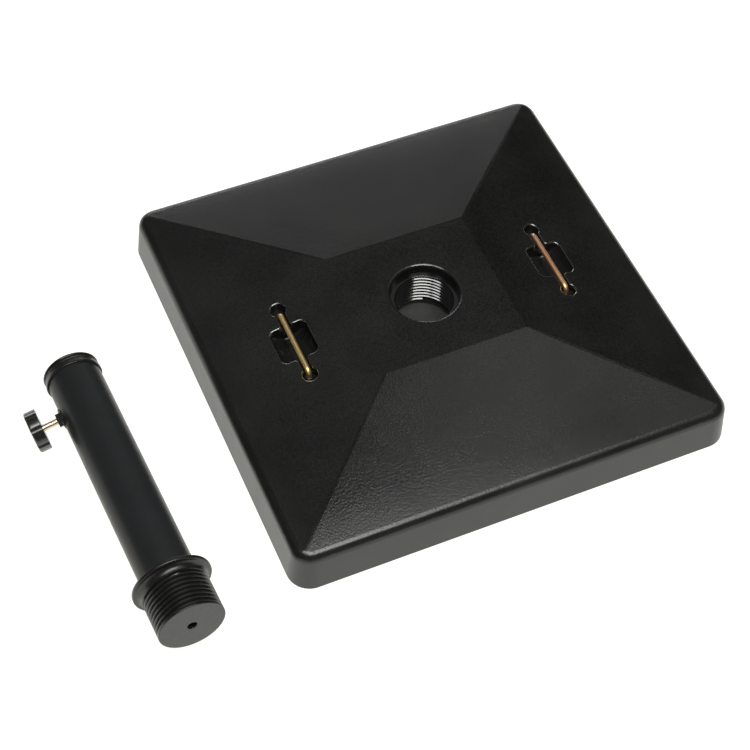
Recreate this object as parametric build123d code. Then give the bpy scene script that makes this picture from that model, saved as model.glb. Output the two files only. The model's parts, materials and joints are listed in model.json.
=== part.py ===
from build123d import *
import math
import os

# Parasol base: a square weighted base with a threaded mast socket, and the mast tube that screws into it.
# Units are millimetres and degrees. The origin is the centre of the base's underside, on the ground.
# +Z is up and +Y runs along the two wire handles. The mast tube lies on the ground beside the -X side.

# ---- base block ----
BASE_SIDE = 500.0
WALL_DRAFT = 5.7
CORNER_R = 25.0
PLATEAU_SIDE = 164.0
PLATEAU_Z = 78.4
SLOPE_ANGLE = 9.7
RIM_R = 11.0
HIP_R = 14.0
FOOT_R = 2.0
SHELL_T = 3.0
CORE_GAP = 0.5
COVER_T = 3.0
COVER_GAP = 0.3
SCREW_SPACING = 200.0
SCREW_HEAD_R = 4.0
SCREW_HEAD_T = 2.0
SCREW_SHANK_R = 2.0
SCREW_LENGTH = 18.0

# ---- mast socket and its thread (the plug's thread mates with it) ----
PITCH = 5.0
MOUTH_R = 37.5
MOUTH_ROUND = 3.0
NECK_DEPTH = 11.5
NECK_R = 40.5
SLEEVE_R = 39.5
SOCKET_CREST_R = 32.0
SOCKET_ROOT_R = 35.2
SOCKET_RIDGES = 9
CUP_R = 34.5
CUP_FLOOR_Z = 16.0
CUP_T = 3.0

# ---- pull-up wire handles, their holes and their finger wells ----
HANDLE_X = 151.0
WIRE_R = 3.0
LEG_Y = 41.5
BAR_Z = 64.2
LEG_FOOT_Z = 12.0
LEG_FOOT_END_Y = 49.5
WIRE_BEND_R = 6.0
FOOT_BEND_R = 4.5
HOLE_Y = 45.5
HOLE_R = 8.0
GROOVE_W = 10.0
GROOVE_FLOOR_Z = 60.5
FINGER_W = 41.0
FINGER_L = 44.0
FINGER_FLOOR_Z = 46.3
FINGER_CORNER_R = 7.0
FINGER_COVE_R = 3.0
GRIP_ROUND = 1.6
GRIP_BLEND = 4.0
COLLAR_Z = 50.0
WELL_T = 2.0
WELL_FLOOR_Z = 5.0
BUSH_TOP_Z = 56.0
BUSH_FLANGE_T = 2.0
BUSH_BORE_R = 3.08
BUSH_RING_R = 5.2
BUSH_RING_H = 1.5

# ---- mast tube assembly, in its own frame: +Z along the tube, +X towards the knob, seat at Z = 0 ----
TUBE_R = 29.0
TUBE_WALL = 1.5
TUBE_TOP = 291.5
TUBE_FOOT = -38.0
PLUG_MAJOR_R = 34.8
PLUG_MINOR_R = 31.7
PLUG_END = -50.0
PLUG_NECK = 8.75
PLUG_GROOVES = 8
DRAIN_R = 5.0
FLANGE_R = 41.6
FLANGE_T = 4.0
FLANGE_CHAMFER = 0.8
COLLAR_R = 30.5
COLLAR_L = 13.5
COLLAR_BEAD_H = 0.4

# ---- clamp screw, its boss, pad and knob ----
CLAMP_Z = 239.5
BOSS_AF = 14.0
BOSS_X = 34.2
SCREW_R = 3.95
BOSS_BORE_R = 4.02
PAD_R = 3.6
PAD_X = 27.8
PAD_L = 3.4
KNOB_X = 50.6
KNOB_T = 13.0
KNOB_R = 22.6
KNOB_LOBES = 8
KNOB_PHASE = -34.0
SCREW_HEAD_AF = 13.0
SCREW_HEAD_X = 54.0
SCREW_HEAD_L = 5.3
TIP_R = 1.95
TIP_BORE_R = 2.02

# ---- where the mast tube lies ----
TUBE_X = -364.5
TUBE_Y = -214.5
TUBE_YAW = 2.2
KNOB_ROLL = 9.5


def slope_z(x):
    """Height of the left and right sloped faces at distance x from the centre."""
    return PLATEAU_Z - (abs(x) - PLATEAU_SIDE / 2) * math.tan(math.radians(SLOPE_ANGLE))


def ring(r_out, r_in, z0, z1):
    """Round ring between two heights on the Z axis."""
    return Pos(0, 0, z0) * extrude(Circle(r_out) - Circle(r_in), z1 - z0)


def rod(r, z0, z1):
    """Round rod between two heights on the Z axis."""
    return Pos(0, 0, z0) * extrude(Circle(r), z1 - z0)


def turned(points):
    """Solid of revolution about Z from a closed outline of (radius, height) points."""
    return revolve(make_face(Polyline([(r, 0, z) for r, z in points], close=True)), Axis.Z)


def thread_outline(crest, root, first, count):
    """Points of count trapezoidal grooves, one pitch apart, running down from height first."""
    points = []
    for i in range(count):
        start = first - i * PITCH
        for r, along in ((crest, 0.0), (root, 0.22), (root, 0.52), (crest, 0.74)):
            points.append((r, start - along * PITCH))
    return points


# ---------------------------------------------------------------- base

def hip_block(inset=0.0):
    """Drafted square block with a low hipped top and a rounded rim, shrunk all round by inset."""
    half = BASE_SIDE / 2 - inset
    top = PLATEAU_Z - inset
    flat = PLATEAU_SIDE / 2
    spread = flat + top / math.tan(math.radians(SLOPE_ANGLE))
    walls = extrude(RectangleRounded(2 * half, 2 * half, CORNER_R - inset), top, taper=WALL_DRAFT)
    hip = loft([Rectangle(2 * spread, 2 * spread), Pos(0, 0, top) * Rectangle(2 * flat, 2 * flat)])
    block = walls & hip
    rim_z = slope_z(half) - inset
    hips = [e for e in block.edges() if e.center().Z > rim_z + 5]
    block = fillet(hips, HIP_R)
    rim = [e for e in block.edges() if rim_z - 5 < e.center().Z < rim_z + 2.5 and e.length > 8]
    return fillet(rim, RIM_R - inset)


def finger_plan(grow=0.0):
    """Plan of the finger well under a handle's bar."""
    return RectangleRounded(FINGER_W + 2 * grow, FINGER_L + 2 * grow, FINGER_CORNER_R + grow)


def grip_outline(grow=0.0):
    """Plan of one handle's recess: finger well, the groove the bar lies in, and two leg holes."""
    outline = finger_plan(grow) + Rectangle(GROOVE_W + 2 * grow, 2 * HOLE_Y)
    for end in (-1, 1):
        outline += Pos(0, end * HOLE_Y) * Circle(HOLE_R + grow)
    inner = [v for v in outline.vertices() if abs(abs(v.X) - GROOVE_W / 2 - grow) < 0.01]
    return fillet(inner, GRIP_BLEND)


def grip_space(side, grow=0.0):
    """Space of one handle's recess: shallow groove, round-bottomed finger well and leg holes."""
    depth = GROOVE_FLOOR_Z - FINGER_FLOOR_Z
    scoop_r = (FINGER_W ** 2 / 4 + depth ** 2) / (2 * depth)
    barrel = Cylinder(scoop_r + grow, FINGER_L + 2 * grow)
    barrel = fillet(barrel.edges().filter_by(GeomType.CIRCLE), FINGER_COVE_R)
    barrel = Pos(0, 0, FINGER_FLOOR_Z + scoop_r) * Rot(90, 0, 0) * barrel
    below = Pos(0, 0, GROOVE_FLOOR_Z - grow - 40) * extrude(finger_plan(grow), 40)
    space = Pos(0, 0, GROOVE_FLOOR_Z - grow) * extrude(grip_outline(grow), 30) + (barrel & below)
    bottom = COLLAR_Z if grow else COLLAR_Z - 1
    for end in (-1, 1):
        space += Pos(0, end * HOLE_Y, 0) * rod(HOLE_R + grow, bottom, PLATEAU_Z)
    return Pos(side * HANDLE_X, 0, 0) * space


def on_slope(edge, side):
    """True if the edge lies on one sloped face, round that side's handle recess."""
    ends = [edge.position_at(t) for t in (0, 0.5, 1)]
    return all(
        abs(p.Z - slope_z(p.X)) < 0.02 and abs(p.X - side * HANDLE_X) < 30 and abs(p.Y) < 60
        for p in ends
    )


def make_casing():
    """Moulded outer shell, open below, with a neck for the socket and pans for the handles."""
    outer = hip_block()
    outer = fillet([e for e in outer.edges() if e.center().Z < 0.01], FOOT_R)
    shell = outer - hip_block(SHELL_T)
    neck_z = PLATEAU_Z - NECK_DEPTH
    thick = Pos(0, 0, neck_z) * extrude(Circle(NECK_R), 40)
    for side in (-1, 1):
        thick += grip_space(side, SHELL_T)
    shell += thick & outer
    shell -= rod(MOUTH_R, neck_z - 1, PLATEAU_Z + 1)
    for side in (-1, 1):
        shell -= grip_space(side)
    for side in (-1, 1):
        shell = fillet([e for e in shell.edges() if on_slope(e, side)], GRIP_ROUND)
    mouth = shell.edges().filter_by(GeomType.CIRCLE)
    mouth = [e for e in mouth if abs(e.radius - MOUTH_R) < 0.01 and e.center().Z > PLATEAU_Z - 0.1]
    return fillet(mouth, MOUTH_ROUND)


def screw_places():
    """Plan positions of the cover screws: a square of eight."""
    steps = (-SCREW_SPACING, 0, SCREW_SPACING)
    return [(x, y) for x in steps for y in steps if (x, y) != (0, 0)]


def screw_solid():
    """One countersunk screw, head down at Z = 0, with a cross recess."""
    screw = turned([
        (0, 0), (SCREW_HEAD_R, 0), (SCREW_SHANK_R, SCREW_HEAD_T),
        (SCREW_SHANK_R, SCREW_LENGTH - 2), (0, SCREW_LENGTH),
    ])
    recess = extrude(Rectangle(4.4, 1.0) + Rectangle(1.0, 4.4), 1.2)
    return screw, screw - recess


def make_cover_and_screws():
    """Flat underside plate and the screws that hold it to the core."""
    half = BASE_SIDE / 2 - SHELL_T - COVER_GAP - 0.3
    cover = extrude(RectangleRounded(2 * half, 2 * half, CORNER_R - SHELL_T), COVER_T)
    plain, slotted = screw_solid()
    screws = []
    for x, y in screw_places():
        cover -= Pos(x, y, 0) * plain
        screws.append(Pos(x, y, 0) * slotted)
    return cover, Compound(children=screws)


def make_core():
    """Cast weight that fills the casing round the socket, the finger wells and the leg wells."""
    core = hip_block(SHELL_T + CORE_GAP)
    core &= Pos(0, 0, COVER_T + 0.2) * extrude(Rectangle(BASE_SIDE, BASE_SIDE), PLATEAU_Z)
    core -= rod(NECK_R + CORE_GAP, PLATEAU_Z - NECK_DEPTH - CORE_GAP, PLATEAU_Z)
    core -= rod(SLEEVE_R, CUP_FLOOR_Z - CUP_T, PLATEAU_Z)
    plain, slotted = screw_solid()
    for x, y in screw_places():
        core -= Pos(x, y, 0) * plain
    for side in (-1, 1):
        core -= grip_space(side, SHELL_T + CORE_GAP)
        for end in (-1, 1):
            place = Pos(side * HANDLE_X, end * HOLE_Y, WELL_FLOOR_Z)
            core -= place * extrude(Circle(HOLE_R + WELL_T), COLLAR_Z - WELL_FLOOR_Z)
    return core


def make_socket():
    """Internally threaded sleeve, and the closed cup below it."""
    top = PLATEAU_Z - NECK_DEPTH
    land = 0.26 * PITCH
    foot = top - land - (SOCKET_RIDGES - 1) * PITCH
    teeth = thread_outline(SOCKET_CREST_R, SOCKET_ROOT_R, top - land, SOCKET_RIDGES - 1)
    sleeve = turned([(SLEEVE_R, foot), (SLEEVE_R, top), (SOCKET_CREST_R, top)] + teeth
                    + [(SOCKET_CREST_R, foot)])
    cup = turned([
        (0, CUP_FLOOR_Z - CUP_T), (SLEEVE_R, CUP_FLOOR_Z - CUP_T), (SLEEVE_R, foot), (CUP_R, foot),
        (CUP_R, CUP_FLOOR_Z + 1), (CUP_R - 1, CUP_FLOOR_Z), (0, CUP_FLOOR_Z),
    ])
    return sleeve, cup


def make_well():
    """Closed plastic tube in the core that one handle leg runs in."""
    top = COLLAR_Z - BUSH_FLANGE_T
    outer = HOLE_R + WELL_T
    return turned([
        (0, WELL_FLOOR_Z), (outer, WELL_FLOOR_Z), (outer, top), (HOLE_R, top),
        (HOLE_R, WELL_FLOOR_Z + WELL_T), (0, WELL_FLOOR_Z + WELL_T),
    ])


def make_bush(end):
    """Guide bush between a leg hole and its well; the leg passes through it off centre."""
    flange_z = COLLAR_Z - BUSH_FLANGE_T
    body = rod(HOLE_R + WELL_T, flange_z, COLLAR_Z) + rod(HOLE_R, COLLAR_Z, BUSH_TOP_Z)
    leg = Pos(0, end * (LEG_Y - HOLE_Y), 0)
    lip = leg * rod(BUSH_RING_R, BUSH_TOP_Z, BUSH_TOP_Z + BUSH_RING_H)
    body += lip & rod(HOLE_R, BUSH_TOP_Z, BUSH_TOP_Z + BUSH_RING_H)
    return body - leg * rod(BUSH_BORE_R, flange_z, BUSH_TOP_Z + BUSH_RING_H)


def make_handle():
    """Bent wire handle: a bar, two legs and two outward feet that stop it under the bushes."""
    half = [(LEG_Y, BAR_Z), (LEG_Y, LEG_FOOT_Z), (LEG_FOOT_END_Y, LEG_FOOT_Z)]
    route = [(0, -y, z) for y, z in reversed(half)] + [(0, y, z) for y, z in half]
    path = FilletPolyline(*route, radius=[FOOT_BEND_R, WIRE_BEND_R, WIRE_BEND_R, FOOT_BEND_R])
    start = Plane(origin=path @ 0, z_dir=path % 0)
    return sweep(start * Circle(WIRE_R), path)


def make_base():
    """All the nodes of the base, the two handles included."""
    cover, screws = make_cover_and_screws()
    sleeve, cup = make_socket()
    nodes = {
        "casing": make_casing(),
        "concrete_core": make_core(),
        "base_cover": cover,
        "cover_screws": screws,
        "socket_sleeve": sleeve,
        "socket_cup": cup,
    }
    for side, side_name in ((-1, "left"), (1, "right")):
        nodes[f"{side_name}_handle"] = Pos(side * HANDLE_X, 0, 0) * make_handle()
        for end, end_name in ((-1, "front"), (1, "back")):
            place = Pos(side * HANDLE_X, end * HOLE_Y, 0)
            nodes[f"{side_name}_{end_name}_well"] = place * make_well()
            nodes[f"{side_name}_{end_name}_bush"] = place * make_bush(end)
    return nodes


# ---------------------------------------------------------------- mast tube assembly

def along_x(shape, x):
    """Turn a shape made along +Z to lie along +X at the clamp's height, starting at x."""
    return Pos(x, 0, CLAMP_Z) * Rot(0, 90, 0) * shape


def make_plug():
    """Threaded plug with the flange that seats on the base, a drain hole and a bore for the tube."""
    teeth = thread_outline(PLUG_MAJOR_R, PLUG_MINOR_R, -PLUG_NECK, PLUG_GROOVES)
    end_wall = PLUG_END + 4
    return turned([
        (TUBE_R, FLANGE_T), (TUBE_R, TUBE_FOOT), (TUBE_R - 2, TUBE_FOOT), (TUBE_R - 2, end_wall),
        (DRAIN_R, end_wall), (DRAIN_R, PLUG_END), (PLUG_MAJOR_R - 1, PLUG_END),
        (PLUG_MAJOR_R, PLUG_END + 1),
    ] + teeth[::-1] + [
        (PLUG_MAJOR_R, -7.2), (PLUG_MAJOR_R - 0.9, -6), (PLUG_MAJOR_R - 0.9, 0),
        (FLANGE_R - 2, 0), (FLANGE_R, 1.4), (FLANGE_R, FLANGE_T - FLANGE_CHAMFER),
        (FLANGE_R - FLANGE_CHAMFER, FLANGE_T),
    ])


def make_tube():
    """Steel mast tube with the hole for the clamp screw."""
    tube = ring(TUBE_R, TUBE_R - TUBE_WALL, TUBE_FOOT, TUBE_TOP - TUBE_WALL)
    return tube - along_x(Cylinder(SCREW_R + 0.55, 20), TUBE_R)


def make_collar():
    """Grooved plastic collar over the top end of the tube."""
    foot = TUBE_TOP - COLLAR_L
    bead = COLLAR_R + COLLAR_BEAD_H
    return turned([
        (TUBE_R, foot), (COLLAR_R, foot), (bead, foot + 0.8), (bead, foot + 3.2),
        (COLLAR_R - 0.2, foot + 4), (COLLAR_R - 0.2, foot + 8.6), (COLLAR_R - 1, foot + 9.2),
        (COLLAR_R - 1, foot + 10.6), (COLLAR_R, foot + 11.2), (COLLAR_R, TUBE_TOP - 1.2),
        (COLLAR_R - 1.2, TUBE_TOP), (TUBE_R - TUBE_WALL, TUBE_TOP),
        (TUBE_R - TUBE_WALL, TUBE_TOP - TUBE_WALL), (TUBE_R, TUBE_TOP - TUBE_WALL),
    ])


def make_boss():
    """Hexagonal threaded boss on the tube, with the weld bead round its foot."""
    nut = extrude(RegularPolygon(BOSS_AF / 2, 6, major_radius=False), BOSS_X)
    bead = Pos(0, 0, TUBE_R - 4) * Cone(10.6, 8.6, 5.2, align=(Align.CENTER, Align.CENTER, Align.MIN))
    boss = along_x(nut + bead, 0) - rod(TUBE_R, CLAMP_Z - 20, CLAMP_Z + 20)
    return boss - along_x(Cylinder(BOSS_BORE_R, 100), 0)


def make_screw():
    """Clamp screw with a turned tip for the pad and a hexagonal head held in the knob."""
    shoulder = PAD_X + PAD_L + 0.3
    tip = PAD_X + 1.4
    shank = extrude(Circle(SCREW_R), SCREW_HEAD_X - shoulder)
    end = extrude(Circle(TIP_R), shoulder - tip)
    head = extrude(RegularPolygon(SCREW_HEAD_AF / 2, 6, major_radius=False), SCREW_HEAD_L)
    return along_x(shank, shoulder) + along_x(end, tip) + along_x(head, SCREW_HEAD_X)


def make_pad():
    """Small pad on the screw's tip that presses on the pole without turning."""
    pad = turned([(0, 0), (PAD_R - 0.8, 0), (PAD_R, 0.8), (PAD_R, PAD_L), (0, PAD_L)])
    bore = Pos(0, 0, 1.3) * extrude(Circle(TIP_BORE_R), PAD_L)
    return along_x(pad - bore, PAD_X)


def make_knob(screw):
    """Fluted hand knob moulded over the screw's head."""
    body = extrude(Circle(KNOB_R), KNOB_T)
    body = fillet(body.edges().group_by(Axis.Z)[-1], 2.2)
    body = fillet(body.edges().group_by(Axis.Z)[0], 0.8)
    flutes = extrude(Circle(6.0), KNOB_T)
    for i in range(KNOB_LOBES):
        body -= Rot(0, 0, (i + 0.5) * 360 / KNOB_LOBES) * Pos(KNOB_R + 4.2, 0, 0) * flutes
    body -= Pos(0, 0, KNOB_T - 1.6) * extrude(Circle(13.0) - Circle(8.0), 1.6)
    turn = Rot(0, 0, 90 - KNOB_PHASE)
    return along_x(turn * body, KNOB_X) - screw


def tube_plane():
    """Frame of the mast tube as it lies: on its flange, its collar and the knob's rim."""
    flange_z = FLANGE_T - FLANGE_CHAMFER
    bead_z = TUBE_TOP - COLLAR_L + 3.2
    tilt = math.atan2(FLANGE_R - COLLAR_R - COLLAR_BEAD_H, bead_z - flange_z)
    yaw = math.radians(TUBE_YAW)
    roll = math.radians(KNOB_ROLL)
    axis = Vector(-math.sin(yaw) * math.cos(tilt), math.cos(yaw) * math.cos(tilt), -math.sin(tilt))
    level = Vector(0, 0, 1).cross(axis).normalized()
    upright = axis.cross(level)
    knob_side = level * math.cos(roll) - upright * math.sin(roll)
    height = FLANGE_R * math.cos(tilt) + flange_z * math.sin(tilt)
    return Plane(origin=(TUBE_X, TUBE_Y, height), x_dir=knob_side, z_dir=axis)


def make_mast():
    """All the nodes of the mast tube assembly, placed where it lies."""
    screw = make_screw()
    nodes = {
        "mast_tube": make_tube(),
        "threaded_plug": make_plug(),
        "top_collar": make_collar(),
        "clamp_boss": make_boss(),
        "clamp_screw": screw,
        "knob": make_knob(screw),
        "pressure_pad": make_pad(),
    }
    place = tube_plane().location
    return {name: place * shape for name, shape in nodes.items()}


def main():
    os.makedirs("parts", exist_ok=True)
    nodes = make_base() | make_mast()
    for name, shape in nodes.items():
        export_step(shape, f"parts/{name}.step")


if __name__ == "__main__":
    main()
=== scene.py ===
"""Looks of the parasol base: a leather-grained weighted base beside its loose mast tube."""
import json
import math

import bmesh
import bpy
from mathutils import Matrix, Vector


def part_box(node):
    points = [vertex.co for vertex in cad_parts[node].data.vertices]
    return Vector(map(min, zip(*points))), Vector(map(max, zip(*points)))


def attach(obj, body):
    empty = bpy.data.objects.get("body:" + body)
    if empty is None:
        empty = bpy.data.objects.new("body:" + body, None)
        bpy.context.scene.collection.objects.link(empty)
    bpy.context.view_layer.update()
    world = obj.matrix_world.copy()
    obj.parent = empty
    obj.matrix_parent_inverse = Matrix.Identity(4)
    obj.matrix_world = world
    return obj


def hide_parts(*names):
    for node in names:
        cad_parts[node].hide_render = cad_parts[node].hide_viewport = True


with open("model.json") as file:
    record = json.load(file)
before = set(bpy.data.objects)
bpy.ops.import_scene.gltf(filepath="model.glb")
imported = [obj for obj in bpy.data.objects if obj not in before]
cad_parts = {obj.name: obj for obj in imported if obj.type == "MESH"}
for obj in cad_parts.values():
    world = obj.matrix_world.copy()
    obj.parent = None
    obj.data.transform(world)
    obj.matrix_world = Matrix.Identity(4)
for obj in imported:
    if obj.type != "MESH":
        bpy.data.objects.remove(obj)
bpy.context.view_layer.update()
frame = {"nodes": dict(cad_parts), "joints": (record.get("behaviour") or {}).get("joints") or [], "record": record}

MM = 0.001
TURN = 2 * math.pi

# ---- camera, seen from the front left and above ----
CAMERA_AZIMUTH = -26.0
CAMERA_ELEVATION = 53.9
CAMERA_ROLL = 3.2
CAMERA_PLACE = (-0.5831, -1.0850, 1.6117)
CAMERA_LENS = 88.0
CAMERA_SENSOR = 36.0

# ---- studio: floor, surround, and each light's name, place, aim, size, colour and radiance ----
FLOOR = (0.3, 0.3, 0.3)
FLOOR_ROUGHNESS = 0.9
FLOOR_GLOW = 1.0
FLOOR_HALF = 6.0
SURROUND = 0.07
WARM = (1.0, 1.0, 0.94)
NEUTRAL = (1.0, 1.0, 1.0)
LIGHTS = (
    ("front_softbox", (-0.02, -0.72, 2.0), (-0.02, -0.72, 0), (1.14, 0.9), WARM, 10),
    ("strip_softbox", (0.04, -0.08, 2.0), (0.04, -0.08, 0), (1.04, 0.14), NEUTRAL, 7),
    ("side_softbox", (-0.82, -0.22, 2.0), (-0.82, -0.22, 0), (0.62, 0.5), NEUTRAL, 8),
    ("fill_panel", (1.1, 0.34, 2.0), (1.1, 0.34, 0), (1.3, 0.6), WARM, 0.72),
    ("canopy", (0.22, 1.4, 2.2), (0.22, 1.4, 0), (1.7, 1.0), NEUTRAL, 0.145),
    ("backdrop", (0.4, 2.6, 1.0), (0.2, 0, 0.3), (2.4, 1.6), NEUTRAL, 0.4),
    ("back_strip", (0.6, 2.4, 0.75), (0.2, 0, 0.1), (1.4, 0.16), NEUTRAL, 8),
)

# ---- the casing, for the masks in its material, in metres except for the last ----
PLATEAU_HALF = 82 * MM
SLOPE = math.tan(math.radians(9.7))
BELOW_TOP = (0.01 * MM, 0.08 * MM)      # depth over which a point stops being on a top face
RIM_FOOT = (1.6 * MM, 2.4 * MM)         # depth over which a burnished rim fades out
WALL_TOP = (45 * MM, 60 * MM)           # height over which the plain wall turns into the grained top
RECESS_REACH = (26 * MM, 58 * MM)       # half of the area round one handle's holes and finger well
MOUTH_REACH = 42 * MM                   # half of the area round the socket's mouth
MASK_EDGE = MM
BORDER = 230 * MM                       # half of the square outside which the grain is coarser
BORDER_EDGE = (-20 * MM, 10 * MM)
COARSEST = 2.6                          # how many times coarser

# ---- the guide bushes that the handles' legs pass through, in metres ----
HANDLE_X = 151 * MM
LEG_Y = 41.5 * MM
BUSH_TOP = 57.5 * MM

# ---- the mast tube, in millimetres from its seat on the flange ----
TUBE_R = 29.0
TUBE_TOP = 291.5
TUBE_FOOT = -38.0
BORE_POINT = 100.0                      # where the pole bore's mount stands
CLAMP_HEIGHT = 239.5

# ---- threads, in millimetres: crest and root radius, pitch, and where the wall starts and ends ----
PLUG_THREAD = {"crest": 34.8, "root": 31.7, "pitch": 5.0, "low": -49.0, "high": -7.2, "first": -8.75}
SOCKET_THREAD = {"crest": 32.0, "root": 35.2, "pitch": 5.0, "low": 25.6, "high": 66.3, "first": 65.6}
SCREW_THREAD = {"crest": 3.93, "root": 3.4, "pitch": 1.25, "low": 32.0, "high": 53.6, "first": 53.0}
SOCKET_START = math.radians(75)
# The ridge's section going up one pitch: (share of the pitch, 1 on the crest and 0 at the root)
RIDGE = ((0.0, 1.0), (0.13, 1.0), (0.25, 1.0), (0.28, 0.95), (0.45, 0.06), (0.49, 0.0), (0.63, 0.0),
         (0.77, 0.0), (0.81, 0.06), (0.97, 0.95))

# ---- turned pieces, in millimetres ----
ROUND = 128                             # facets round a large turned piece
SLEEVE_R = 39.5
SLEEVE_LIP_R = 0.6
PLUG_END = -50.0
PLUG_EDGE_R = 0.9
DISC_RINGS = (33.2, 6.6)                # rings that keep the end disc's shading flat
DRAIN_R = 5.0
DRAIN_EDGE_R = 0.8
POLE_SEAT_R = 27.0
POLE_SEAT = -46.0
TUBE_LEAD_IN = 0.3
FLANGE_R = 41.58
FLANGE_TOP = 4.0
FLANGE_TOP_EDGE_R = 0.8
FLANGE_FOOT_EDGE_R = 1.4
COVE_R = 6.0
COVE_FOOT = 0.6
COLLAR_LENGTH = 13.5
SCREW_FACETS = 36
SCREW_RUN_OUT = 0.6
SCREW_END = 29.3
TIP_R = 1.95
TIP_CHAMFER_R = 1.7
TIP_SHOULDER = 31.5
NECK_TOP = 54.2
HEAD_ACROSS = 13.0
HEAD_LOW = 54.0
HEAD_HIGH = 59.3
LIP_RING_R = 4.15
LIP_SECTION_R = 1.0
WELD_REACH = 10.1
WELD_BEAD_R = 1.1

# ---- mesh clean-up, in millimetres and square millimetres ----
SAME_POINT = 0.0005
NO_AREA = 1e-7


# ---------------------------------------------------------------- camera, floor and lights

def view_axes(azimuth, elevation, roll):
    """Right, up and backward axes of a camera at an azimuth, elevation and roll in degrees."""
    a, e, r = (math.radians(v) for v in (azimuth, elevation, roll))
    back = Vector((math.sin(a) * math.cos(e), -math.cos(a) * math.cos(e), math.sin(e)))
    level = Vector((math.cos(a), math.sin(a), 0))
    right = level * math.cos(r) + back.cross(level) * math.sin(r)
    return right, back.cross(right), back


def link(obj):
    """Put a new object in the scene."""
    bpy.context.scene.collection.objects.link(obj)
    return obj


def make_camera():
    """The one camera."""
    camera = link(bpy.data.objects.new("camera", bpy.data.cameras.new("camera")))
    camera.data.lens = CAMERA_LENS
    camera.data.sensor_width = CAMERA_SENSOR
    axes = Matrix(view_axes(CAMERA_AZIMUTH, CAMERA_ELEVATION, CAMERA_ROLL)).transposed()
    camera.matrix_world = Matrix.Translation(CAMERA_PLACE) @ axes.to_4x4()
    bpy.context.scene.camera = camera


def area_light(name, place, aim, size, color, radiance):
    """A soft rectangular light at a place, aimed at a point, of an even radiance."""
    data = bpy.data.lights.new(name, "AREA")
    data.shape = "RECTANGLE"
    data.color = color
    data.size, data.size_y = size
    data.energy = radiance * math.pi * size[0] * size[1]
    light = link(bpy.data.objects.new(name, data))
    light.location = place
    light.rotation_euler = (Vector(place) - Vector(aim)).to_track_quat("Z", "Y").to_euler()


def make_studio():
    """Pale floor with a faint glow of its own, soft lights and a dim surround."""
    s = FLOOR_HALF
    mesh = bpy.data.meshes.new("floor")
    mesh.from_pydata([(-s, -s, 0), (s, -s, 0), (s, s, 0), (-s, s, 0)], [], [(0, 1, 2, 3)])
    floor = link(bpy.data.objects.new("floor", mesh))
    look = Look("floor_paper", FLOOR, FLOOR_ROUGHNESS)
    look.feed("Emission Color", (*WARM, 1))
    look.feed("Emission Strength", FLOOR_GLOW)
    mesh.materials.append(look.mat)
    for settings in LIGHTS:
        area_light(*settings)
    world = bpy.data.worlds.new("surround")
    world.use_nodes = True
    world.node_tree.nodes["Background"].inputs["Color"].default_value = (*NEUTRAL, 1)
    world.node_tree.nodes["Background"].inputs["Strength"].default_value = SURROUND
    bpy.context.scene.world = world
    bpy.context.scene.view_settings.view_transform = "Standard"


# ---------------------------------------------------------------- materials

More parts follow.
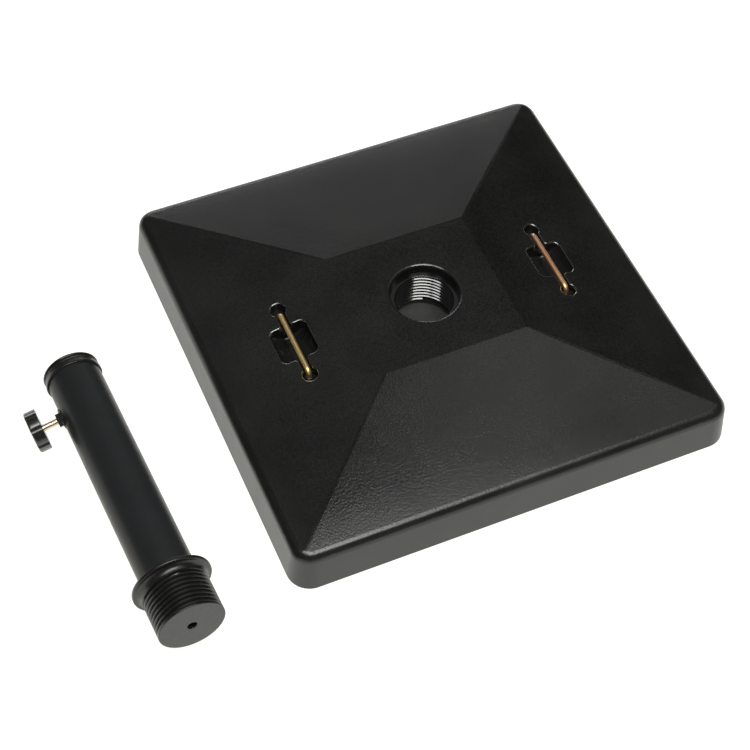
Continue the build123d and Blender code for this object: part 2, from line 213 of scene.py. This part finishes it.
class Look:
    """A node material while it is being built, with short names for the nodes that it uses."""

    def __init__(self, name, color, roughness, metallic=0.0):
        """Start from plain values, which hold wherever nothing is linked to a socket later."""
        self.mat = bpy.data.materials.new(name)
        self.mat.use_nodes = True
        self.tree = self.mat.node_tree
        self.shader = self.tree.nodes["Principled BSDF"]
        self.place = self.tree.nodes.new("ShaderNodeTexCoord").outputs["Object"]
        self.feed("Base Color", (*color, 1))
        self.feed("Roughness", roughness)
        self.feed("Metallic", metallic)

    def feed(self, socket, value):
        """Set one of the shader's sockets to a value, or link an output to it."""
        self.put(self.shader.inputs[socket], value)

    def put(self, socket, value):
        """Set any node's socket to a value, or link an output to it."""
        if isinstance(value, bpy.types.NodeSocket):
            self.tree.links.new(value, socket)
        else:
            socket.default_value = value

    def node(self, kind, inputs, **settings):
        """A new node with its settings, and its inputs by name or number."""
        node = self.tree.nodes.new("ShaderNode" + kind)
        for key, value in settings.items():
            setattr(node, key, value)
        for key, value in inputs.items():
            self.put(node.inputs[key], value)
        return node

    def math(self, operation, a, b=0.0, c=0.0):
        """Result of a Math node on up to three inputs."""
        return self.node("Math", {0: a, 1: b, 2: c}, operation=operation).outputs[0]

    def smooth(self, value, low, high, to_low=0.0, to_high=1.0):
        """Smooth step of a value from one range to another."""
        inputs = {"Value": value, "From Min": low, "From Max": high, "To Min": to_low, "To Max": to_high}
        return self.node("MapRange", inputs, interpolation_type="SMOOTHSTEP").outputs["Result"]

    def noise(self, scale, detail, place=None):
        """Noise of a scale and detail, over the object's coordinates or others."""
        inputs = {"Vector": place or self.place, "Scale": scale, "Detail": detail}
        return self.node("TexNoise", inputs).outputs[0]

    def cells(self, scale):
        """Distance inside the cells of a Voronoi pattern."""
        return self.node("TexVoronoi", {"Vector": self.place, "Scale": scale}).outputs["Distance"]

    def axes(self):
        """The object's X, Y and Z as three outputs."""
        return self.node("SeparateXYZ", {0: self.place}).outputs

    def ramp(self, value, *stops):
        """Colour ramp through (place, colour) stops."""
        node = self.node("ValToRGB", {0: value})
        ramp = node.color_ramp
        while len(ramp.elements) < len(stops):
            ramp.elements.new(0.5)
        for element, (place, color) in zip(ramp.elements, stops):
            element.position = place
            element.color = (*color, 1)
        return node.outputs[0]

    def bump(self, height, distance, strength):
        """Bump that stacks on any bump made before."""
        node = self.node("Bump", {"Height": height, "Distance": distance, "Strength": strength})
        normal = self.shader.inputs["Normal"]
        if normal.links:
            self.tree.links.new(normal.links[0].from_socket, node.inputs["Normal"])
        self.feed("Normal", node.outputs[0])

    def drawing_marks(self, stretch, low, high):
        """Fine marks drawn out along Y, in the roughness from low to high and in the relief."""
        place = self.node("Mapping", {"Vector": self.place, "Scale": (5200, stretch, 5200)}).outputs[0]
        marks = self.noise(1, 3, place)
        self.feed("Roughness", self.smooth(marks, 0.3, 0.75, low, high))
        self.bump(marks, distance=0.012 * MM, strength=0.5)


def grey(value, warmth=0.0):
    """A grey, drawn towards red by a positive warmth and towards blue by a negative one."""
    return (value * (1 + warmth), value, value * (1 - warmth))


def beyond(look, x, y, reach_x, reach_y, centre_x=0.0):
    """Distance outside a rectangle in plan, negative inside it, from x and y that are both positive."""
    off_x = look.math("ABSOLUTE", look.math("SUBTRACT", x, centre_x))
    return look.math("MAXIMUM", look.math("SUBTRACT", off_x, reach_x), look.math("SUBTRACT", y, reach_y))


def casing_masks(look):
    """Depth below the top planes, 1 round the recesses, 1 round the mouth, and the grain's coarseness."""
    axes = look.axes()
    x, y = look.math("ABSOLUTE", axes[0]), look.math("ABSOLUTE", axes[1])
    run = look.math("MAXIMUM", look.math("SUBTRACT", look.math("MAXIMUM", x, y), PLATEAU_HALF))
    top = look.math("MULTIPLY_ADD", run, -SLOPE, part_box("casing")[1].z)
    recess = look.smooth(beyond(look, x, y, *RECESS_REACH, HANDLE_X), 0, MASK_EDGE, 1.0, 0.0)
    mouth = look.smooth(beyond(look, x, y, MOUTH_REACH, MOUTH_REACH), 0, MASK_EDGE, 1.0, 0.0)
    coarse = look.smooth(beyond(look, x, y, BORDER, BORDER), *BORDER_EDGE, 1.0, COARSEST)
    return look.math("SUBTRACT", top, axes[2]), recess, mouth, coarse


def casing_look():
    """Black moulded plastic: fine grain on top, plain walls, burnished rims round the recesses."""
    look = Look("casing_plastic", grey(0.009), 0.2)
    depth, recess, mouth, coarse = casing_masks(look)
    below = look.smooth(depth, *BELOW_TOP)
    inside = look.math("MULTIPLY", look.math("MAXIMUM", recess, mouth), below)
    edge = look.math("MULTIPLY", below, look.smooth(depth, *RIM_FOOT, 1.0, 0.0))
    rim = look.math("MULTIPLY", edge, look.math("MULTIPLY_ADD", mouth, 0.3, recess))
    on_top = look.smooth(look.axes()[2], *WALL_TOP)
    plain = look.math("MAXIMUM", inside, look.math("SUBTRACT", 1.0, on_top))

    pebbles = look.noise(scale=430, detail=2)
    pores = look.noise(scale=1100, detail=2)
    blotches = look.noise(scale=14, detail=4)
    flecks = look.smooth(look.noise(scale=760, detail=3), 0.36, 0.64, -0.3, 0.3)
    tone = look.math("MULTIPLY_ADD", look.math("SUBTRACT", 1.0, plain), flecks, blotches)
    look.feed("Base Color", look.ramp(tone, (0.15, grey(0.003)), (0.85, grey(0.015, 0.02))))

    skin = look.smooth(look.noise(scale=40, detail=4), 0.3, 0.75, 0.15, 0.18)
    duller = look.math("MULTIPLY", plain, look.math("MULTIPLY_ADD", inside, -0.14, 0.19))
    look.feed("Roughness", look.math("ADD", duller, skin))
    look.feed("Coat Weight", rim)
    look.feed("Coat IOR", 1.9)
    look.feed("Coat Roughness", 0.1)

    grain = look.math("MULTIPLY", look.math("MULTIPLY_ADD", plain, -0.9, 1.0), coarse)
    look.bump(look.math("MULTIPLY", pebbles, grain), distance=0.34 * MM, strength=0.45)
    look.bump(look.math("MULTIPLY", pores, grain), distance=0.08 * MM, strength=0.35)
    return look.mat


def moulded_look(name, tone, roughness, peel=900, depth=0.05, warmth=0.0, ior=1.5):
    """Plain moulded plastic with a faint skin texture, its peel's depth in millimetres."""
    look = Look(name, grey(tone), roughness)
    look.feed("IOR", ior)
    dark, light = grey(tone * 0.85, warmth), grey(tone * 1.2, warmth)
    look.feed("Base Color", look.ramp(look.noise(scale=60, detail=4), (0.3, dark), (0.72, light)))
    skin = look.noise(scale=140, detail=5)
    look.feed("Roughness", look.smooth(skin, 0.25, 0.8, roughness - 0.05, roughness + 0.06))
    look.bump(look.noise(scale=peel, detail=3), distance=depth * MM, strength=0.5)
    return look.mat


def powder_look(name, roughness, ior):
    """Satin black powder coat with a fine orange peel."""
    look = Look(name, grey(0.018), roughness)
    look.feed("IOR", ior)
    dark, light = grey(0.017, -0.05), grey(0.02, -0.08)
    look.feed("Base Color", look.ramp(look.noise(scale=30, detail=3), (0.3, dark), (0.7, light)))
    skin = look.noise(scale=90, detail=4)
    look.feed("Roughness", look.smooth(skin, 0.25, 0.8, roughness - 0.03, roughness + 0.04))
    look.bump(look.noise(scale=620, detail=2), distance=0.03 * MM, strength=0.4)
    return look.mat


def zinc_look(name, stops, scale, roughness):
    """Zinc plating whose tint varies in patches, with fine drawing marks."""
    look = Look(name, stops[0][1], roughness, 1.0)
    look.feed("Base Color", look.ramp(look.noise(scale, detail=3), *stops))
    look.drawing_marks(260, roughness - 0.06, roughness + 0.1)
    return look.mat


def wire_look(side):
    """Yellow zinc plated wire: olive gold on the left handle, and gold to copper to rose on the right."""
    olive, gold, tan = (0.80, 0.64, 0.26), (0.98, 0.70, 0.33), (0.88, 0.62, 0.32)
    copper, rose = (0.92, 0.50, 0.27), (0.92, 0.66, 0.52)
    stops = {
        "left": ((0.1, gold), (0.35, olive), (0.65, tan), (0.95, gold)),
        "right": ((0.1, gold), (0.35, copper), (0.62, copper), (0.92, rose)),
    }
    look = Look(f"yellow_zinc_{side}", gold, 0.45, 1.0)
    along = look.smooth(look.axes()[1], -50 * MM, 50 * MM, 0.0, 0.65)
    drift = look.math("MULTIPLY_ADD", look.noise(scale=90, detail=3), 0.35, along)
    look.feed("Base Color", look.ramp(drift, *stops[side]))
    look.drawing_marks(220, 0.38, 0.52)
    return look.mat


def concrete_look():
    """Grey cast concrete with sand grain, blotches and small air holes."""
    look = Look("concrete", grey(0.4), 0.9)
    blotches = look.math("MULTIPLY", look.noise(scale=18, detail=4), 0.5)
    tone = look.math("MULTIPLY_ADD", look.noise(scale=900, detail=4), 0.5, blotches)
    look.feed("Base Color", look.ramp(tone, (0.3, grey(0.3, 0.03)), (0.7, grey(0.5, 0.05))))
    holes = look.smooth(look.cells(160), 0.08, 0.2)
    look.bump(holes, distance=0.8 * MM, strength=0.8)
    look.bump(look.noise(scale=1200, detail=4), distance=0.2 * MM, strength=0.6)
    return look.mat


def make_looks():
    """Every material, by a short name for the pieces that it is for."""
    pale_zinc = ((0.25, (0.60, 0.60, 0.58)), (0.75, (0.70, 0.69, 0.66)))
    cream_zinc = ((0.2, (0.80, 0.66, 0.48)), (0.5, (0.90, 0.80, 0.66)), (0.8, (0.82, 0.64, 0.50)))
    return {
        "casing": casing_look(),
        "concrete": concrete_look(),
        "cover": moulded_look("cover_plastic", 0.012, 0.5, peel=500, depth=0.12),
        "cover_screw": zinc_look("zinc_steel", pale_zinc, 300, 0.3),
        "socket": moulded_look("socket_plastic", 0.004, 0.13, peel=700, depth=0.015, ior=1.8),
        # The cup's plastic is a paler grey than the other black plastics: painted reflection of the lit thread in
        # the cup's floor.
        "well": moulded_look("cup_plastic", 0.045, 0.4),
        "bush": moulded_look("bush_plastic", 0.008, 0.14, peel=500, depth=0.02),
        "left_wire": wire_look("left"),
        "right_wire": wire_look("right"),
        "powder": powder_look("powder_coat", 0.34, 1.29),
        "boss": powder_look("boss_coat", 0.16, 1.8),
        "plug": moulded_look("plug_plastic", 0.010, 0.3, peel=1100, depth=0.04, warmth=0.03),
        "knob": moulded_look("knob_plastic", 0.012, 0.24, peel=800, ior=1.75),
        "screw": zinc_look("clamp_zinc", cream_zinc, 220, 0.3),
        "pad": moulded_look("pad_plastic", 0.5, 0.45, warmth=0.03),
    }


# ---------------------------------------------------------------- meshes

def arc(centre, radius, start, end, steps=6):
    """Points on an arc between two angles in degrees, in the plane of a lathe's outline."""
    angles = [math.radians(start + (end - start) * i / steps) for i in range(steps + 1)]
    return [(centre[0] + radius * math.cos(a), centre[1] + radius * math.sin(a)) for a in angles]


class Piece:
    """A mesh built in millimetres in a frame of its own, then placed in the row's frame."""

    def __init__(self, place):
        self.bm = bmesh.new()
        self.place = place

    def lathe(self, outline, steps):
        """Surface turned about Z from (radius, height) points."""
        rings = []
        for radius, height in outline:
            if radius < 1e-6:
                rings.append([self.bm.verts.new((0, 0, height))] * steps)
                continue
            turned = [(math.cos(TURN * i / steps), math.sin(TURN * i / steps)) for i in range(steps)]
            rings.append([self.bm.verts.new((radius * c, radius * s, height)) for c, s in turned])
        for low, high in zip(rings, rings[1:]):
            for i in range(steps):
                j = (i + 1) % steps
                corners = list(dict.fromkeys((low[i], low[j], high[j], high[i])))
                self.bm.faces.new(corners)

    def thread(self, crest, root, pitch, low, high, first, steps, run_out=1.6, turn_from=0.0):
        """Helical ridge wall: right-handed, its grooves fading out towards both ends."""
        start = first - pitch * (math.ceil((first - low) / pitch) + 1)
        turns = math.ceil((high - start) / pitch) + 1
        total = turns * steps
        rows = []
        for h in range(total + steps + 1):
            angle = TURN * h / steps + turn_from
            row = []
            for share, _ in RIDGE:
                z = min(max(start + pitch * (h / steps + share), low), high)
                ease = min((high - z) / run_out, (z - low) / run_out, 1.0)
                fade = ease * ease * (3 - 2 * ease)
                radius = crest + (root - crest) * (1 - self.level((z - start) / pitch - h / steps)) * fade
                row.append(self.bm.verts.new((radius * math.cos(angle), radius * math.sin(angle), z)))
            rows.append(row)
        last = len(RIDGE) - 1
        for h in range(total):
            for p in range(last):
                self.bm.faces.new((rows[h][p], rows[h + 1][p], rows[h + 1][p + 1], rows[h][p + 1]))
            ahead, after = rows[h + steps][0], rows[h + steps + 1][0]
            self.bm.faces.new((rows[h][last], rows[h + 1][last], after, ahead))

    @staticmethod
    def level(pitches):
        """How near the crest the ridge is, 1 on it and 0 at the root, so many pitches above its start."""
        share = pitches % 1.0
        stops = RIDGE + ((1.0, 1.0),)
        for (a, level_a), (b, level_b) in zip(stops, stops[1:]):
            if a <= share <= b:
                return level_a + (level_b - level_a) * (share - a) / (b - a)
        return 1.0

    def prism(self, across, sides, low, high):
        """Regular prism along Z with a measure across its flats."""
        radius = across / 2 / math.cos(math.pi / sides)
        self.lathe([(0, low), (radius, low), (radius, high), (0, high)], sides)

    def finish(self, name, body, mat, replaces=(), smooth_angle=40):
        """Clean the mesh, place it, give it its body and its material in a slot, and hide the nodes that it stands
        for.
        """
        bmesh.ops.remove_doubles(self.bm, verts=self.bm.verts, dist=SAME_POINT)
        flat = [f for f in self.bm.faces if f.calc_area() < NO_AREA]
        bmesh.ops.delete(self.bm, geom=flat, context="FACES_ONLY")
        bmesh.ops.recalc_face_normals(self.bm, faces=self.bm.faces)
        mesh = bpy.data.meshes.new(name)
        self.bm.to_mesh(mesh)
        self.bm.free()
        mesh.transform(self.place @ Matrix.Diagonal((MM, MM, MM, 1)))
        mesh.materials.append(mat)
        mesh.shade_smooth()
        mesh.set_sharp_from_angle(angle=math.radians(smooth_angle))
        piece = link(bpy.data.objects.new(name, mesh))
        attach(piece, body)
        if replaces:
            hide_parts(*replaces)


def mast_frame():
    """The mast tube's own frame, Z along the tube from its seat and X towards the knob."""
    mounts = {m["name"]: m for m in frame["record"]["mounts"]}
    joints = {j["name"]: j for j in frame["joints"]}
    bore = mounts["pole_bore"]
    along = Vector(bore["axis"]).normalized()
    side = -Vector(joints["pad_slide"]["axis"]).normalized()
    seat = Vector(bore["pos_m"]) - along * BORE_POINT * MM
    axes = Matrix((side, along.cross(side), along)).transposed()
    return Matrix.Translation(seat) @ axes.to_4x4()


def clamp_frame(mast):
    """The clamp screw's own frame: Z outwards along the screw from the tube's axis."""
    turn = Matrix.Translation((0, 0, CLAMP_HEIGHT * MM)) @ Matrix.Rotation(math.pi / 2, 4, "Y")
    return mast @ turn


def make_socket(looks):
    """Socket sleeve with its helical internal thread."""
    piece = Piece(Matrix.Identity(4))
    t = SOCKET_THREAD
    inner, low, high, lip_r = t["crest"], t["low"], t["high"], SLEEVE_LIP_R
    piece.thread(**t, steps=ROUND, turn_from=SOCKET_START)
    lip = arc((inner + lip_r, high), lip_r, 180, 90)
    body = [(SLEEVE_R, high + lip_r), (SLEEVE_R, low), (inner, low)]
    piece.lathe([(inner, high)] + lip + body, ROUND)
    piece.finish("socket_thread", "base", looks["socket"], ["socket_sleeve"], 30)


def make_plug(looks, mast):
    """Threaded plug: helical thread, coved flange, end wall with its drain hole, and tube bore."""
    piece = Piece(mast)
    t = PLUG_THREAD
    outer = t["crest"]
    piece.thread(**t, steps=ROUND)
    edge = arc((outer - PLUG_EDGE_R, PLUG_END + PLUG_EDGE_R), PLUG_EDGE_R, 0, -90)
    disc = [(radius, PLUG_END) for radius in DISC_RINGS]
    drain = arc((DRAIN_R + DRAIN_EDGE_R, PLUG_END + DRAIN_EDGE_R), DRAIN_EDGE_R, -90, -180)
    bore = [(DRAIN_R, POLE_SEAT), (POLE_SEAT_R, POLE_SEAT), (POLE_SEAT_R, TUBE_FOOT), (TUBE_R, TUBE_FOOT),
            (TUBE_R, FLANGE_TOP - TUBE_LEAD_IN), (TUBE_R + TUBE_LEAD_IN, FLANGE_TOP)]
    top_r, foot_r = FLANGE_TOP_EDGE_R, FLANGE_FOOT_EDGE_R
    rim = arc((FLANGE_R - top_r, FLANGE_TOP - top_r), top_r, 90, 0)
    rim += arc((FLANGE_R - foot_r, foot_r), foot_r, 0, -90)
    cove_foot_r = outer - PLUG_EDGE_R
    cove = arc((cove_foot_r + COVE_R, -COVE_R), COVE_R, 90, 180)
    shoulder = [(outer - COVE_FOOT, -COVE_R - COVE_FOOT), (outer, t["high"])]
    piece.lathe([(outer, t["low"])] + edge + disc + drain + bore + rim + cove + shoulder, ROUND)
    piece.finish("plug_thread", "mast", looks["plug"], ["threaded_plug"], 30)


def make_collar(looks, mast):
    """Collar on the tube's open end: foot bead over a shadow gap, rib, deep groove and rounded lip."""
    piece = Piece(mast)
    top = TUBE_TOP
    foot = top - COLLAR_LENGTH
    gap = [(TUBE_R, foot + 1.2), (29.5, foot + 1.2), (29.6, foot)]
    bead = arc((29.9, foot + 0.9), 1.0, -90, 0) + arc((29.9, foot + 2.5), 1.0, 0, 75)
    band = [(30.0, foot + 4.2), (30.0, foot + 7.2)]
    rib = arc((29.7, foot + 7.9), 0.6, -60, 60)
    groove = [(29.9, foot + 8.8), (29.2, foot + 9.1), (29.2, foot + 10.8), (30.1, foot + 11.1)]
    lip = arc((29.5, foot + 12.2), 1.0, -20, 0)
    lip += arc((29.3, top - 1.2), 1.2, 0, 90) + arc((28.5, top - 1.0), 1.0, 90, 180)
    inner = [(27.5, top - 1.5), (TUBE_R, top - 1.5)]
    piece.lathe(gap + bead + band + rib + groove + lip + inner, ROUND)
    piece.finish("collar_rings", "mast", looks["plug"], ["top_collar"], 30)


def make_screw(looks, clamp):
    """Clamp screw: helical M8 thread, turned tip and the hexagonal head inside the knob."""
    piece = Piece(clamp)
    t = SCREW_THREAD
    outer, root = t["crest"], t["root"]
    piece.thread(**t, steps=SCREW_FACETS, run_out=SCREW_RUN_OUT)
    tip = [(0, SCREW_END), (TIP_CHAMFER_R, SCREW_END), (TIP_R, SCREW_END + 0.3), (TIP_R, TIP_SHOULDER),
           (root, TIP_SHOULDER), (outer, t["low"])]
    piece.lathe(tip, SCREW_FACETS)
    piece.lathe([(outer, t["high"]), (outer, NECK_TOP), (0, NECK_TOP)], SCREW_FACETS)
    piece.prism(HEAD_ACROSS, 6, HEAD_LOW, HEAD_HIGH)
    piece.finish("clamp_thread", "clamp", looks["screw"], ["clamp_screw"], 30)


def make_bush_lips(looks):
    """Rounded lip on top of each guide bush, round the leg that passes through it."""
    for side in (-1, 1):
        for end in (-1, 1):
            piece = Piece(Matrix.Translation((side * HANDLE_X, end * LEG_Y, BUSH_TOP)))
            piece.lathe(arc((LIP_RING_R, 0), LIP_SECTION_R, -180, 180, 16), 48)
            name = f"{'left' if side < 0 else 'right'}_{'front' if end < 0 else 'back'}_bush_lip"
            piece.finish(name, "base", looks["bush"])


def make_weld(looks, clamp):
    """Rippled weld bead where the boss meets the tube."""
    piece = Piece(clamp)
    steps, sides = 96, 12
    rings = []
    for i in range(steps):
        a = TURN * i / steps
        ripple = 1 + 0.16 * abs(math.sin(12 * a)) + 0.08 * math.sin(5 * a + 1)
        height = math.sqrt(TUBE_R ** 2 - (WELD_REACH * math.sin(a)) ** 2)
        ring = []
        for k in range(sides):
            b = TURN * k / sides
            out = WELD_REACH + WELD_BEAD_R * ripple * math.cos(b)
            up = height + WELD_BEAD_R * ripple * 0.9 * math.sin(b)
            ring.append(piece.bm.verts.new((out * math.cos(a), out * math.sin(a), up)))
        rings.append(ring)
    for low, high in zip(rings, rings[1:] + rings[:1]):
        for k in range(sides):
            j = (k + 1) % sides
            piece.bm.faces.new((low[k], low[j], high[j], high[k]))
    piece.finish("boss_weld", "mast", looks["powder"])


# ---------------------------------------------------------------- assembly

def paint(looks):
    """Give every CAD node that stays its material."""
    plan = {
        "casing": ["casing"],
        "concrete": ["concrete_core"],
        "cover": ["base_cover"],
        "cover_screw": ["cover_screws"],
        "left_wire": ["left_handle"],
        "right_wire": ["right_handle"],
        "powder": ["mast_tube"],
        "boss": ["clamp_boss"],
        "knob": ["knob"],
        "pad": ["pressure_pad"],
        "well": ["socket_cup"] + [n for n in frame["nodes"] if n.endswith("_well")],
        "bush": [n for n in frame["nodes"] if n.endswith("_bush")],
    }
    for look, nodes in plan.items():
        for node in nodes:
            mesh = frame["nodes"][node].data
            mesh.materials.clear()
            mesh.materials.append(looks[look])


def main():
    """Build everything that is seen."""
    make_camera()
    make_studio()
    looks = make_looks()
    paint(looks)
    mast = mast_frame()
    clamp = clamp_frame(mast)
    make_socket(looks)
    make_plug(looks, mast)
    make_collar(looks, mast)
    make_bush_lips(looks)
    make_screw(looks, clamp)
    make_weld(looks, clamp)


main()
